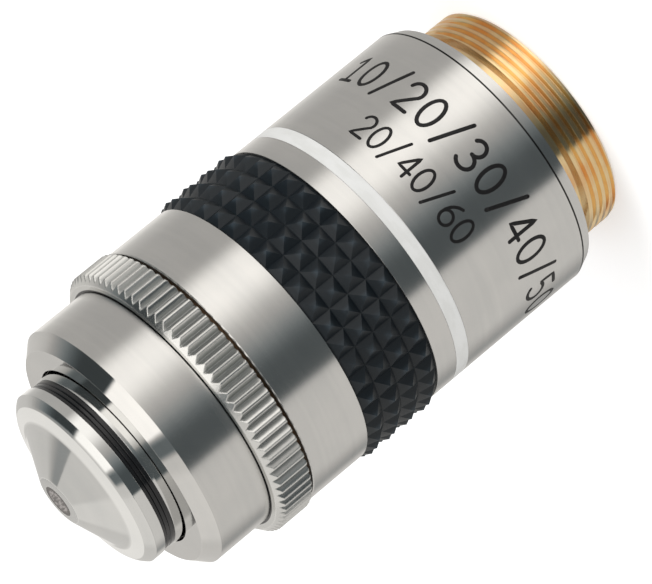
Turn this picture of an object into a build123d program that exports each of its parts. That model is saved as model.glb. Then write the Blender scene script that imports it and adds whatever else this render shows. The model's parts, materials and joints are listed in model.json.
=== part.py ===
from build123d import *
import math
import os

# An oil immersion microscope objective with a sprung nose and an iris diaphragm. Millimetres.
# The origin lies on the optical axis in the plane of the mounting shoulder, and +Z points to
# the front lens. Heights that end in _z are measured from that plane.

os.makedirs("parts", exist_ok=True)

# Clearances, on the radius or along the axis
press_gap = 0.02
running_gap = 0.05
end_gap = 0.10

# Mounting thread: 0.8 inch across, shared by microscopes of the 45 mm parfocal standard
thread_d = 20.32
thread_length = 4.70
thread_relief_length = 1.35
thread_relief_depth = 0.51
thread_chamfer = 0.30
shank_step = 0.45
shoulder_recess_depth = 0.40
shoulder_recess_gap = 0.14
shank_length = 8.50
mount_wall = 1.20

# Outer barrel
body_d = 24.24
body_length = 29.57
edge_taper = 0.42
edge_band_length = 1.03
edge_line_width = 0.12
edge_line_depth = 0.10
body_front_chamfer = 0.08
barrel_front_wall = 1.70
sleeve_tail_length = 4.27
sleeve_seat_step = 0.44

# White code ring and rubber grip, set into the barrel
code_ring_width = 1.29
code_ring_depth = 0.35
code_ring_to_grip = 1.97
grip_width = 7.38
grip_groove_depth = 0.72
grip_rise = 0.40
grip_point_height = 0.60
grip_rows = 4
grip_points_around = 42
grip_to_front = 5.59

# Iris control ring with its friction washer and drive pin
washer_thickness = 0.20
washer_width = 1.20
control_ring_width = 3.25
control_ring_rise = 0.25
control_ring_bevel_length = 0.52
control_ring_bevel_depth = 0.60
control_ring_rear_bevel = 0.12
knurl_count = 84
knurl_depth = 0.42
knurl_groove_width = 0.76
ring_travel = 40.0
drive_pin_d = 1.00
drive_pin_depth = 0.95
drive_pin_angle = 70.0

# Front sleeve
sleeve_wall = 2.33
sleeve_shoulder = 0.72
sleeve_bevel_length = 1.07
sleeve_bevel_depth = 1.05
sleeve_mouth_depth = 1.00
sleeve_mouth_step = 0.17

# Sprung nose: the lens tube, its guide pin and its spring
nose_travel = 2.00
nose_show = 0.83
tube_wall = 1.02
band_length = 4.40
tail_wall = 1.20
tail_end_gap = 1.50
guide_pin_d = 1.20
guide_pin_depth = 0.90
guide_pin_to_band_rear = 1.20
guide_pin_angle = 200.0
seat_ring_length = 1.50
spring_wire_d = 0.90
spring_turns = 4.5

# Rear baffle
baffle_length = 1.20
baffle_width = 2.40
baffle_setback = 0.80

# Iris diaphragm
blade_count = 8
blade_thickness = 0.10
blade_gap = 0.03
blade_width = 2.00
blade_to_pivot = 1.70
blade_arc = 110.0
blade_turn = 16.0
blade_pin_d = 0.40
blade_eye_d = 0.84
blade_arm_width = 0.60
pivot_margin = 2.00
lever_length = 3.00
lever_rise = 0.40
rotor_plate_thickness = 0.60
rotor_skirt_wall = 0.50
rotor_hole_margin = 0.90
rotor_slot_end = 0.18
iris_plate_thickness = 0.80
iris_plate_hole_margin = 0.30
iris_nut_length = 0.90
iris_nut_width = 1.40

# Lens cells, from the rear: a flange in the tube, rear cell, spacer, middle cell, front cell
flange_thickness = 0.50
flange_width = 1.10
rear_cell_length = 2.60
spacer_length = 0.80
middle_cell_length = 2.35
front_cell_length = 1.50
cell_lip = 0.40
lens_rim = 0.45
rear_cell_wall = 2.16
middle_cell_wall = 1.44
front_cell_wall = 2.44
cement_gap = 0.02
rear_crown_edge = 0.90
rear_crown_bulge = 0.60
rear_cement_bulge = 0.70
rear_flint_edge = 0.93
rear_flint_bulge = 0.30
middle_crown_edge = 0.80
middle_crown_bulge = 0.50
middle_cement_bulge = 0.65
middle_flint_edge = 0.83
middle_flint_bulge = 0.20
meniscus_edge = 0.55
meniscus_rear_bulge = 0.30
meniscus_front_hollow = 0.20

# Nose cap and the code ring behind it, sizes counted back from the tip
oil_ring_width = 1.05
oil_ring_inset = 0.10
oil_ring_line_depth = 0.07
oil_ring_line_width = 0.14
cap_spigot_wall = 1.20
cap_spigot_gap = 0.20
cap_rim_length = 0.86
cap_round_length = 0.60
cap_round_depth = 0.72
cap_round_radius = 2.20
cap_band_length = 0.36
cap_band_width = 1.45
cone_length = 1.85
cone_tip_d = 4.08
cone_foot_round = 3.00
tip_round = 2.00
cap_wall_depth = 2.695
cap_seat_width = 1.78
front_lens_d = 2.72
front_lens_rim = 0.90
front_lens_seat = 1.15

# Heights along the axis
code_front_z = body_length - grip_to_front - grip_width - code_ring_to_grip
code_rear_z = code_front_z - code_ring_width
grip_front_z = body_length - grip_to_front
grip_rear_z = grip_front_z - grip_width
sleeve_rear_z = body_length - sleeve_tail_length
ring_rear_z = body_length + washer_thickness + end_gap
ring_front_z = ring_rear_z + control_ring_width
sleeve_shoulder_z = ring_front_z + running_gap
band_front_z = sleeve_rear_z - running_gap
band_rear_z = band_front_z - band_length
guide_pin_z = band_rear_z + guide_pin_to_band_rear
baffle_front_z = shank_length - baffle_setback
baffle_rear_z = baffle_front_z - baffle_length
seat_ring_front_z = shank_length + seat_ring_length
tail_rear_z = seat_ring_front_z + nose_travel + tail_end_gap
drive_pin_z = (ring_rear_z + ring_front_z) / 2
rotor_front_z = drive_pin_z + drive_pin_d / 2 + nose_travel + rotor_slot_end
rotor_plate_front_z = drive_pin_z - drive_pin_d / 2 - rotor_slot_end
rotor_rear_z = rotor_plate_front_z - rotor_plate_thickness
blade_pitch = blade_thickness + blade_gap
iris_plate_front_z = rotor_rear_z - blade_count * blade_pitch - blade_gap
iris_plate_rear_z = iris_plate_front_z - iris_plate_thickness
iris_nut_rear_z = iris_plate_rear_z - iris_nut_length
flange_rear_z = rotor_front_z + running_gap
rear_cell_rear_z = flange_rear_z + flange_thickness
rear_cell_front_z = rear_cell_rear_z + rear_cell_length
middle_cell_rear_z = rear_cell_front_z + spacer_length
middle_cell_front_z = middle_cell_rear_z + middle_cell_length
cap_seat_z = middle_cell_front_z + front_cell_length
tip_z = cap_seat_z + cap_wall_depth
cone_rear_z = tip_z - cone_length
cap_round_front_z = cone_rear_z - cap_band_length
cap_round_rear_z = cap_round_front_z - cap_round_length
cap_shoulder_z = cap_round_rear_z - cap_rim_length
tube_front_z = cap_shoulder_z - oil_ring_width
sleeve_front_z = tube_front_z - nose_show
spigot_rear_z = rear_cell_front_z + cap_spigot_gap

# Radii, from the outside of the barrel inwards
body_r = body_d / 2
counterbore_r = body_r - barrel_front_wall
main_bore_r = counterbore_r - sleeve_seat_step
bearing_r = counterbore_r - press_gap
sleeve_r = bearing_r + sleeve_shoulder
nose_bore_r = bearing_r - sleeve_wall
nose_r = nose_bore_r - running_gap
band_r = main_bore_r - running_gap
tube_bore_r = nose_r - tube_wall
tail_r = tube_bore_r + tail_wall
grip_groove_r = body_r - grip_groove_depth
code_groove_r = body_r - code_ring_depth
control_ring_r = body_r + control_ring_rise
control_bore_r = bearing_r + running_gap
thread_r = thread_d / 2
relief_r = thread_r - thread_relief_depth
shank_r = relief_r - shank_step
mount_bore_r = shank_r - mount_wall
spigot_r = tube_bore_r - press_gap
spigot_bore_r = spigot_r - cap_spigot_wall
cell_r = spigot_bore_r - press_gap
drive_pin_tip_r = control_bore_r + drive_pin_depth
rotor_r = tube_bore_r - running_gap
rotor_skirt_r = rotor_r - rotor_skirt_wall
shoulder_recess_r = thread_r + shoulder_recess_gap
baffle_outer_r = mount_bore_r - press_gap
baffle_hole_r = mount_bore_r - baffle_width
pivot_r = tube_bore_r - pivot_margin

# Iris geometry, drawn for the blade that is pivoted on the X axis
leaf_mid_r = pivot_r - blade_to_pivot
open_aperture_r = leaf_mid_r - blade_width / 2
lever_start_r = pivot_r + lever_rise
lever_cosine = (lever_start_r**2 - pivot_r**2 - lever_length**2) / (2 * pivot_r * lever_length)
lever_start_angle = -math.degrees(math.acos(lever_cosine))


def radial_plane(angle, height):
    """A plane that faces outwards from the axis at an angle, with its own X along the axis."""
    facing = math.radians(angle)
    return Plane(
        origin=(0, 0, height),
        x_dir=(0, 0, 1),
        z_dir=(math.cos(facing), math.sin(facing), 0),
    )


def half_plane(angle):
    """The plane through the axis at an angle: its own X is the radius and its own Y the height."""
    facing = math.radians(angle)
    return Plane(
        origin=(0, 0, 0),
        x_dir=(math.cos(facing), math.sin(facing), 0),
        z_dir=(math.sin(facing), -math.cos(facing), 0),
    )


def polar(radius, angle):
    """The point at a radius and an angle in degrees."""
    return (radius * math.cos(math.radians(angle)), radius * math.sin(math.radians(angle)))


def lever_end(turned):
    """The driving pin of the first blade once that blade has turned by an angle."""
    across, along = polar(lever_length, lever_start_angle + turned)
    return (pivot_r + across, along)


def cam_point(ring_angle):
    """The same pin as the iris rotor sees it, when the control ring has turned by an angle."""
    x, y = lever_end(blade_turn * ring_angle / ring_travel)
    return polar(math.hypot(x, y), math.degrees(math.atan2(y, x)) - ring_angle)


def knurl_outline():
    """The end view of the control ring's straight knurl: flat crests and V grooves."""
    pitch = 360 / knurl_count
    half_crest = pitch / 2 - math.degrees(knurl_groove_width / 2 / control_ring_r)
    points = []
    for tooth in range(knurl_count):
        centre = tooth * pitch
        points.append(polar(control_ring_r, centre - half_crest))
        points.append(polar(control_ring_r, centre + half_crest))
        points.append(polar(control_ring_r - knurl_depth, centre + pitch / 2))
    return points


def grip_outline():
    """The end view of the grip's points: a star with one ray for each point around."""
    half_pitch = 180 / grip_points_around
    points = []
    for ray in range(grip_points_around):
        points.append(polar(grip_crest_r, 2 * ray * half_pitch))
        points.append(polar(grip_valley_r, (2 * ray + 1) * half_pitch))
    return points


def grip_profile():
    """The grip's section: a flat back on the barrel and one peak for each row of points."""
    row_width = (grip_front_z - grip_rear_z - 2 * press_gap) / grip_rows
    rear = grip_rear_z + press_gap
    points = [(grip_groove_r + press_gap, rear), (grip_valley_r, rear)]
    for row in range(grip_rows):
        points.append((grip_crest_r, rear + (row + 0.5) * row_width))
        points.append((grip_valley_r, rear + (row + 1) * row_width))
    points.append((grip_groove_r + press_gap, rear + grip_rows * row_width))
    return points


# Mounting thread piece: a plain cylinder on the thread's crests, and a shank in the barrel
with BuildPart() as thread_mount:
    with BuildSketch(Plane.XZ):
        with BuildLine():
            Polyline(
                (mount_bore_r, -thread_length),
                (thread_r - thread_chamfer, -thread_length),
                (thread_r, thread_chamfer - thread_length),
                (thread_r, -thread_relief_length - thread_relief_depth / 2),
                (relief_r, -thread_relief_length),
                (relief_r, shoulder_recess_depth),
                (shank_r, shoulder_recess_depth),
                (shank_r, shank_length),
                (mount_bore_r, shank_length),
                close=True,
            )
        make_face()
    revolve(axis=Axis.Z)
thread_mount.part.label = "thread_mount"
export_step(thread_mount.part, "parts/thread_mount.step")

# Rear baffle: the black ring that stops stray light
with BuildPart() as rear_baffle:
    baffle_edge = baffle_length / 2
    with BuildSketch(Plane.XZ):
        with BuildLine():
            Polyline(
                (baffle_hole_r + baffle_edge, baffle_rear_z),
                (baffle_outer_r, baffle_rear_z),
                (baffle_outer_r, baffle_front_z),
                (baffle_hole_r, baffle_front_z),
                (baffle_hole_r, baffle_front_z - baffle_edge),
                close=True,
            )
        make_face()
    revolve(axis=Axis.Z)
rear_baffle.part.label = "rear_baffle"
export_step(rear_baffle.part, "parts/rear_baffle.step")

# Outer barrel: its rear face is the shoulder that seats on the microscope, recessed around
# the thread piece
with BuildPart() as outer_barrel:
    rear_bore_r = shank_r + press_gap
    line_half = edge_line_width / 2
    with BuildSketch(Plane.XZ):
        with BuildLine():
            Polyline(
                (rear_bore_r, 0),
                (body_r - edge_taper, 0),
                (body_r, edge_band_length - line_half),
                (body_r - edge_line_depth, edge_band_length),
                (body_r, edge_band_length + line_half),
                (body_r, code_rear_z),
                (code_groove_r, code_rear_z),
                (code_groove_r, code_front_z),
                (body_r, code_front_z),
                (body_r, grip_rear_z),
                (grip_groove_r, grip_rear_z),
                (grip_groove_r, grip_front_z),
                (body_r, grip_front_z),
                (body_r, body_length - body_front_chamfer),
                (body_r - body_front_chamfer, body_length),
                (counterbore_r, body_length),
                (counterbore_r, sleeve_rear_z),
                (main_bore_r, sleeve_rear_z),
                (main_bore_r, shank_length),
                (rear_bore_r, shank_length),
                close=True,
            )
        make_face()
    revolve(axis=Axis.Z)
    with BuildSketch(Plane.XY):
        Circle(shoulder_recess_r)
    extrude(amount=shoulder_recess_depth, mode=Mode.SUBTRACT)
    with BuildSketch(radial_plane(guide_pin_angle, guide_pin_z)):
        Circle(guide_pin_d / 2 + press_gap)
    extrude(amount=body_r, mode=Mode.SUBTRACT)
outer_barrel.part.label = "outer_barrel"
export_step(outer_barrel.part, "parts/outer_barrel.step")

# White magnification code ring, flush with the barrel
with BuildPart() as code_ring:
    with BuildSketch(Plane.XZ):
        with BuildLine():
            Polyline(
                (code_groove_r + press_gap, code_rear_z + press_gap),
                (body_r, code_rear_z + press_gap),
                (body_r, code_front_z - press_gap),
                (code_groove_r + press_gap, code_front_z - press_gap),
                close=True,
            )
        make_face()
    revolve(axis=Axis.Z)
code_ring.part.label = "code_ring"
export_step(code_ring.part, "parts/code_ring.step")

# Rubber grip: rows of square points, where a turned zigzag meets a star
grip_crest_r = body_r + grip_rise
grip_valley_r = grip_crest_r - grip_point_height
with BuildPart() as rubber_grip:
    with BuildSketch(Plane.XZ):
        with BuildLine():
            Polyline(*grip_profile(), close=True)
        make_face()
    revolve(axis=Axis.Z)
    with BuildSketch(Plane.XY.offset(grip_rear_z)):
        with BuildLine():
            Polyline(*grip_outline(), close=True)
        make_face()
    extrude(amount=grip_width, mode=Mode.INTERSECT)
rubber_grip.part.label = "rubber_grip"
export_step(rubber_grip.part, "parts/rubber_grip.step")

# Guide pin: keeps the sprung nose from turning, and hides under the grip
with BuildPart() as guide_pin:
    guide_pin_root_r = band_r - guide_pin_depth
    guide_pin_end_r = grip_groove_r - end_gap
    with BuildSketch(radial_plane(guide_pin_angle, guide_pin_z).offset(guide_pin_root_r)):
        Circle(guide_pin_d / 2)
    extrude(amount=guide_pin_end_r - guide_pin_root_r)
guide_pin.part.label = "guide_pin"
export_step(guide_pin.part, "parts/guide_pin.step")

# Spring seat ring: stands on the front end of the thread piece's shank
with BuildPart() as spring_seat_ring:
    with BuildSketch(Plane.XZ):
        with BuildLine():
            Polyline(
                (tail_r + 3 * end_gap, shank_length),
                (main_bore_r - press_gap, shank_length),
                (main_bore_r - press_gap, seat_ring_front_z),
                (tail_r + 3 * end_gap, seat_ring_front_z),
                close=True,
            )
        make_face()
    revolve(axis=Axis.Z)
spring_seat_ring.part.label = "spring_seat_ring"
export_step(spring_seat_ring.part, "parts/spring_seat_ring.step")

# Return spring: its coil runs past both seats and is ground flat on them
with BuildPart() as return_spring:
    spring_mid_r = (main_bore_r + tail_r) / 2
    spring_length = band_rear_z - seat_ring_front_z
    spring_pitch = spring_length / spring_turns
    with BuildLine():
        coil = Helix(
            pitch=spring_pitch,
            height=spring_length,
            radius=spring_mid_r,
            center=(0, 0, seat_ring_front_z),
        )
    with BuildSketch(Plane(origin=coil @ 0, z_dir=coil % 0)):
        Circle(spring_wire_d / 2)
    sweep(path=coil, is_frenet=True)
    split(bisect_by=Plane.XY.offset(seat_ring_front_z), keep=Keep.TOP)
    split(bisect_by=Plane.XY.offset(band_rear_z), keep=Keep.BOTTOM)
return_spring.part.label = "return_spring"
export_step(return_spring.part, "parts/return_spring.step")

# Lens tube: slides in the barrel on its wide band, and carries the iris and the lenses
with BuildPart() as lens_tube:
    flange_r = tube_bore_r - flange_width
    with BuildSketch(Plane.XZ):
        with BuildLine():
            Polyline(
                (tube_bore_r, tail_rear_z),
                (tail_r, tail_rear_z),
                (tail_r, band_rear_z),
                (band_r, band_rear_z),
                (band_r, band_front_z),
                (nose_r, band_front_z),
                (nose_r, tube_front_z),
                (tube_bore_r, tube_front_z),
                (tube_bore_r, rear_cell_rear_z),
                (flange_r, rear_cell_rear_z),
                (flange_r, flange_rear_z),
                (tube_bore_r, flange_rear_z),
                close=True,
            )
        make_face()
    revolve(axis=Axis.Z)
    guide_slot_width = guide_pin_d + 2 * running_gap
    guide_slot_front = guide_pin_z + nose_travel + guide_slot_width / 2
    guide_slot_length = 2 * (guide_slot_front - band_rear_z)
    guide_slot_floor_r = guide_pin_root_r - end_gap
    with BuildSketch(radial_plane(guide_pin_angle, band_rear_z).offset(guide_slot_floor_r)):
        SlotOverall(guide_slot_length, guide_slot_width)
    extrude(amount=band_r, mode=Mode.SUBTRACT)
    window_margin = math.degrees((drive_pin_d / 2 + end_gap) / tube_bore_r)
    with BuildSketch(half_plane(drive_pin_angle - window_margin)):
        with BuildLine():
            window_rear_z = drive_pin_z - drive_pin_d / 2 - end_gap
            window_front_z = drive_pin_z + nose_travel + drive_pin_d / 2 + end_gap
            Polyline(
                (tube_bore_r - tube_wall, window_rear_z),
                (nose_r + tube_wall, window_rear_z),
                (nose_r + tube_wall, window_front_z),
                (tube_bore_r - tube_wall, window_front_z),
                close=True,
            )
        make_face()
    revolve(axis=Axis.Z, revolution_arc=ring_travel + 2 * window_margin, mode=Mode.SUBTRACT)
lens_tube.part.label = "lens_tube"
export_step(lens_tube.part, "parts/lens_tube.step")

# Front sleeve: holds the nose in the barrel, and is the bearing of the control ring
with BuildPart() as front_sleeve:
    mouth_r = nose_bore_r + sleeve_mouth_step
    mouth_rear_z = sleeve_front_z - sleeve_mouth_depth
    with BuildSketch(Plane.XZ):
        with BuildLine():
            Polyline(
                (nose_bore_r, sleeve_rear_z),
                (bearing_r, sleeve_rear_z),
                (bearing_r, sleeve_shoulder_z),
                (sleeve_r, sleeve_shoulder_z),
                (sleeve_r, sleeve_front_z - sleeve_bevel_length),
                (sleeve_r - sleeve_bevel_depth, sleeve_front_z),
                (mouth_r, sleeve_front_z),
                (mouth_r, mouth_rear_z),
                (nose_bore_r, mouth_rear_z - sleeve_mouth_step),
                close=True,
            )
        make_face()
    revolve(axis=Axis.Z)
    slot_half = drive_pin_d / 2 + running_gap
    with BuildSketch(half_plane(drive_pin_angle)):
        with Locations((nose_bore_r + sleeve_wall / 2, drive_pin_z)):
            Rectangle(2 * sleeve_wall, 2 * slot_half)
    revolve(axis=Axis.Z, revolution_arc=ring_travel, mode=Mode.SUBTRACT)
    for slot_end_angle in (drive_pin_angle, drive_pin_angle + ring_travel):
        with BuildSketch(radial_plane(slot_end_angle, drive_pin_z)):
            Circle(slot_half)
        extrude(amount=sleeve_r, mode=Mode.SUBTRACT)
front_sleeve.part.label = "front_sleeve"
export_step(front_sleeve.part, "parts/front_sleeve.step")

# Friction washer: brass, between the barrel and the control ring
with BuildPart() as friction_washer:
    with BuildSketch(Plane.XY.offset(body_length)):
        Circle(control_bore_r + washer_width)
        Circle(control_bore_r, mode=Mode.SUBTRACT)
    extrude(amount=washer_thickness)
friction_washer.part.label = "friction_washer"
export_step(friction_washer.part, "parts/friction_washer.step")

# Iris control ring: turned with a front bevel, then knurled
with BuildPart() as control_ring:
    front_face_r = control_ring_r - control_ring_bevel_depth
    with BuildSketch(Plane.XZ):
        with BuildLine():
            Polyline(
                (control_bore_r, ring_rear_z),
                (control_ring_r - control_ring_rear_bevel, ring_rear_z),
                (control_ring_r, ring_rear_z + control_ring_rear_bevel),
                (control_ring_r, ring_front_z - control_ring_bevel_length),
                (front_face_r, ring_front_z),
                (control_bore_r, ring_front_z),
                close=True,
            )
        make_face()
    revolve(axis=Axis.Z)
    with BuildSketch(Plane.XY.offset(ring_rear_z)):
        with BuildLine():
            Polyline(*knurl_outline(), close=True)
        make_face()
    extrude(amount=control_ring_width, mode=Mode.INTERSECT)
    with BuildSketch(radial_plane(drive_pin_angle, drive_pin_z)):
        Circle(drive_pin_d / 2 + press_gap)
    extrude(amount=drive_pin_tip_r + press_gap, mode=Mode.SUBTRACT)
control_ring.part.label = "control_ring"
export_step(control_ring.part, "parts/control_ring.step")

# Drive pin: fixed in the control ring, and reaches through sleeve and tube into the rotor
with BuildPart() as drive_pin:
    drive_pin_root_r = rotor_skirt_r + running_gap
    with BuildSketch(radial_plane(drive_pin_angle, drive_pin_z).offset(drive_pin_root_r)):
        Circle(drive_pin_d / 2)
    extrude(amount=drive_pin_tip_r - drive_pin_root_r)
drive_pin.part.label = "drive_pin"
export_step(drive_pin.part, "parts/drive_pin.step")

# Iris base plate: one bearing hole for each blade
with BuildPart() as iris_base_plate:
    with BuildSketch(Plane.XY.offset(iris_plate_rear_z)):
        Circle(tube_bore_r - press_gap)
        Circle(open_aperture_r + iris_plate_hole_margin, mode=Mode.SUBTRACT)
        with PolarLocations(pivot_r, blade_count):
            Circle(blade_pin_d / 2 + running_gap, mode=Mode.SUBTRACT)
    extrude(amount=iris_plate_thickness)
iris_base_plate.part.label = "iris_base_plate"
export_step(iris_base_plate.part, "parts/iris_base_plate.step")

# Ring nut that holds the iris base plate from behind, with two spanner slots
with BuildPart() as iris_ring_nut:
    with BuildSketch(Plane.XY.offset(iris_nut_rear_z)):
        Circle(tube_bore_r - press_gap)
        Circle(tube_bore_r - iris_nut_width, mode=Mode.SUBTRACT)
    extrude(amount=iris_nut_length)
    with BuildSketch(Plane.XY.offset(iris_nut_rear_z)):
        Rectangle(2 * tube_bore_r, iris_nut_width / 2)
    extrude(amount=iris_nut_length / 2, mode=Mode.SUBTRACT)
iris_ring_nut.part.label = "iris_ring_nut"
export_step(iris_ring_nut.part, "parts/iris_ring_nut.step")

# Iris rotor: a skirt with the drive pin's slot, and a plate with one cam slot for each blade
with BuildLine():
    cam_path = ThreePointArc(cam_point(0), cam_point(ring_travel / 2), cam_point(ring_travel))
with BuildPart() as iris_rotor:
    with BuildSketch(Plane.XY.offset(rotor_rear_z)):
        Circle(rotor_r)
        Circle(open_aperture_r + rotor_hole_margin, mode=Mode.SUBTRACT)
        with PolarLocations(0, blade_count):
            SlotArc(cam_path, blade_pin_d + 2 * running_gap, mode=Mode.SUBTRACT)
    extrude(amount=rotor_plate_thickness)
    with BuildSketch(Plane.XY.offset(rotor_plate_front_z)):
        Circle(rotor_r)
        Circle(rotor_skirt_r, mode=Mode.SUBTRACT)
    extrude(amount=rotor_front_z - rotor_plate_front_z)
    rotor_slot_width = drive_pin_d + 2 * running_gap
    rotor_slot_rear = drive_pin_z - rotor_slot_width / 2
    rotor_slot_length = 2 * (rotor_front_z - rotor_slot_rear)
    with BuildSketch(radial_plane(drive_pin_angle, rotor_front_z).offset(rotor_skirt_r / 2)):
        SlotOverall(rotor_slot_length, rotor_slot_width)
    extrude(amount=rotor_r, mode=Mode.SUBTRACT)
iris_rotor.part.label = "iris_rotor"
export_step(iris_rotor.part, "parts/iris_rotor.step")

# Iris blades: each is a thin leaf on its own level, with a pivot pin behind and a cam pin ahead
for blade_index in range(blade_count):
    blade_name = f"iris_blade_{blade_index + 1}"
    blade_z = iris_plate_front_z + blade_gap + blade_index * blade_pitch
    blade_angle = 360 * blade_index / blade_count
    blade_plane = Plane(
        origin=(0, 0, blade_z),
        x_dir=(*polar(1, blade_angle), 0),
        z_dir=(0, 0, 1),
    )
    with BuildPart() as iris_blade:
        with BuildSketch(blade_plane):
            with BuildLine(mode=Mode.PRIVATE):
                leaf_path = CenterArc((0, 0), leaf_mid_r, 0, blade_arc)
            with BuildLine(mode=Mode.PRIVATE) as arm_path:
                Polyline((leaf_mid_r, 0), (pivot_r, 0), lever_end(0))
            SlotArc(leaf_path, blade_width)
            trace(arm_path.line, line_width=blade_arm_width)
            with Locations((pivot_r, 0), lever_end(0)):
                Circle(blade_eye_d / 2)
        extrude(amount=blade_thickness)
        with BuildSketch(blade_plane):
            with Locations((pivot_r, 0)):
                Circle(blade_pin_d / 2)
        extrude(amount=iris_plate_rear_z + end_gap - blade_z)
        with BuildSketch(blade_plane.offset(blade_thickness)):
            with Locations(lever_end(0)):
                Circle(blade_pin_d / 2)
        extrude(amount=rotor_plate_front_z - end_gap - blade_z - blade_thickness)
    iris_blade.part.label = blade_name
    export_step(iris_blade.part, f"parts/{blade_name}.step")


def lens_section(edge_r, rear_rim_z, front_rim_z, rear_bulge, front_bulge):
    """Half section of a lens with flat rims. A bulge is positive where it points forwards."""
    clear_r = edge_r - lens_rim
    with BuildSketch(Plane.XZ) as section:
        with BuildLine():
            rear_face = TangentArc(
                (0, rear_rim_z + rear_bulge), (clear_r, rear_rim_z), tangent=(1, 0)
            )
            front_face = TangentArc(
                (0, front_rim_z + front_bulge), (clear_r, front_rim_z), tangent=(1, 0)
            )
            Polyline(rear_face @ 1, (edge_r, rear_rim_z), (edge_r, front_rim_z), front_face @ 1)
            Line(front_face @ 0, rear_face @ 0)
        make_face()
    return section.sketch


def cell_section(outer_r, wall, rear_z, front_z):
    """Half section of a lens cell: the lens lies in a pocket against a lip at the front."""
    pocket_r = outer_r - wall
    lip_r = pocket_r - lens_rim
    with BuildSketch(Plane.XZ) as section:
        with BuildLine():
            Polyline(
                (pocket_r, rear_z),
                (outer_r, rear_z),
                (outer_r, front_z),
                (lip_r, front_z),
                (lip_r, front_z - cell_lip),
                (pocket_r, front_z - cell_lip),
                close=True,
            )
        make_face()
    return section.sketch


# Rear lens cell, on the flange of the tube, and the two cemented glasses in it
rear_cell_r = tube_bore_r - press_gap
rear_lens_r = rear_cell_r - rear_cell_wall - press_gap
rear_lens_front_z = rear_cell_front_z - cell_lip
rear_crown_rear_z = rear_lens_front_z - rear_crown_edge
rear_flint_front_z = rear_crown_rear_z - cement_gap
with BuildPart() as rear_cell:
    revolve(
        cell_section(rear_cell_r, rear_cell_wall, rear_cell_rear_z, rear_cell_front_z),
        axis=Axis.Z,
    )
rear_cell.part.label = "rear_cell"
export_step(rear_cell.part, "parts/rear_cell.step")

with BuildPart() as rear_crown_lens:
    revolve(
        lens_section(
            rear_lens_r,
            rear_crown_rear_z,
            rear_lens_front_z,
            -rear_cement_bulge,
            rear_crown_bulge,
        ),
        axis=Axis.Z,
    )
rear_crown_lens.part.label = "rear_crown_lens"
export_step(rear_crown_lens.part, "parts/rear_crown_lens.step")

with BuildPart() as rear_flint_lens:
    revolve(
        lens_section(
            rear_lens_r,
            rear_flint_front_z - rear_flint_edge,
            rear_flint_front_z,
            -rear_flint_bulge,
            -rear_cement_bulge,
        ),
        axis=Axis.Z,
    )
rear_flint_lens.part.label = "rear_flint_lens"
export_step(rear_flint_lens.part, "parts/rear_flint_lens.step")

# Spacer ring: sets the air gap between the rear and the middle cell
with BuildPart() as spacer_ring:
    with BuildSketch(Plane.XY.offset(rear_cell_front_z)):
        Circle(cell_r)
        Circle(rear_lens_r - lens_rim, mode=Mode.SUBTRACT)
    extrude(amount=spacer_length)
spacer_ring.part.label = "spacer_ring"
export_step(spacer_ring.part, "parts/spacer_ring.step")

# Middle lens cell, in the spigot of the nose cap, and the two cemented glasses in it
middle_lens_r = cell_r - middle_cell_wall - press_gap
middle_lens_front_z = middle_cell_front_z - cell_lip
middle_crown_rear_z = middle_lens_front_z - middle_crown_edge
middle_flint_front_z = middle_crown_rear_z - cement_gap
with BuildPart() as middle_cell:
    revolve(
        cell_section(cell_r, middle_cell_wall, middle_cell_rear_z, middle_cell_front_z),
        axis=Axis.Z,
    )
middle_cell.part.label = "middle_cell"
export_step(middle_cell.part, "parts/middle_cell.step")

with BuildPart() as middle_crown_lens:
    revolve(
        lens_section(
            middle_lens_r,
            middle_crown_rear_z,
            middle_lens_front_z,
            -middle_cement_bulge,
            middle_crown_bulge,
        ),
        axis=Axis.Z,
    )
middle_crown_lens.part.label = "middle_crown_lens"
export_step(middle_crown_lens.part, "parts/middle_crown_lens.step")

with BuildPart() as middle_flint_lens:
    revolve(
        lens_section(
            middle_lens_r,
            middle_flint_front_z - middle_flint_edge,
            middle_flint_front_z,
            -middle_flint_bulge,
            -middle_cement_bulge,
        ),
        axis=Axis.Z,
    )
middle_flint_lens.part.label = "middle_flint_lens"
export_step(middle_flint_lens.part, "parts/middle_flint_lens.step")

# Front lens cell, against the inside of the nose cap, with its meniscus
meniscus_r = cell_r - front_cell_wall - press_gap
meniscus_front_z = cap_seat_z - cell_lip
with BuildPart() as front_cell:
    revolve(cell_section(cell_r, front_cell_wall, middle_cell_front_z, cap_seat_z), axis=Axis.Z)
front_cell.part.label = "front_cell"
export_step(front_cell.part, "parts/front_cell.step")

with BuildPart() as meniscus_lens:
    revolve(
        lens_section(
            meniscus_r,
            meniscus_front_z - meniscus_edge,
            meniscus_front_z,
            -meniscus_rear_bulge,
            -meniscus_front_hollow,
        ),
        axis=Axis.Z,
    )
meniscus_lens.part.label = "meniscus_lens"
export_step(meniscus_lens.part, "parts/meniscus_lens.step")

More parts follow.
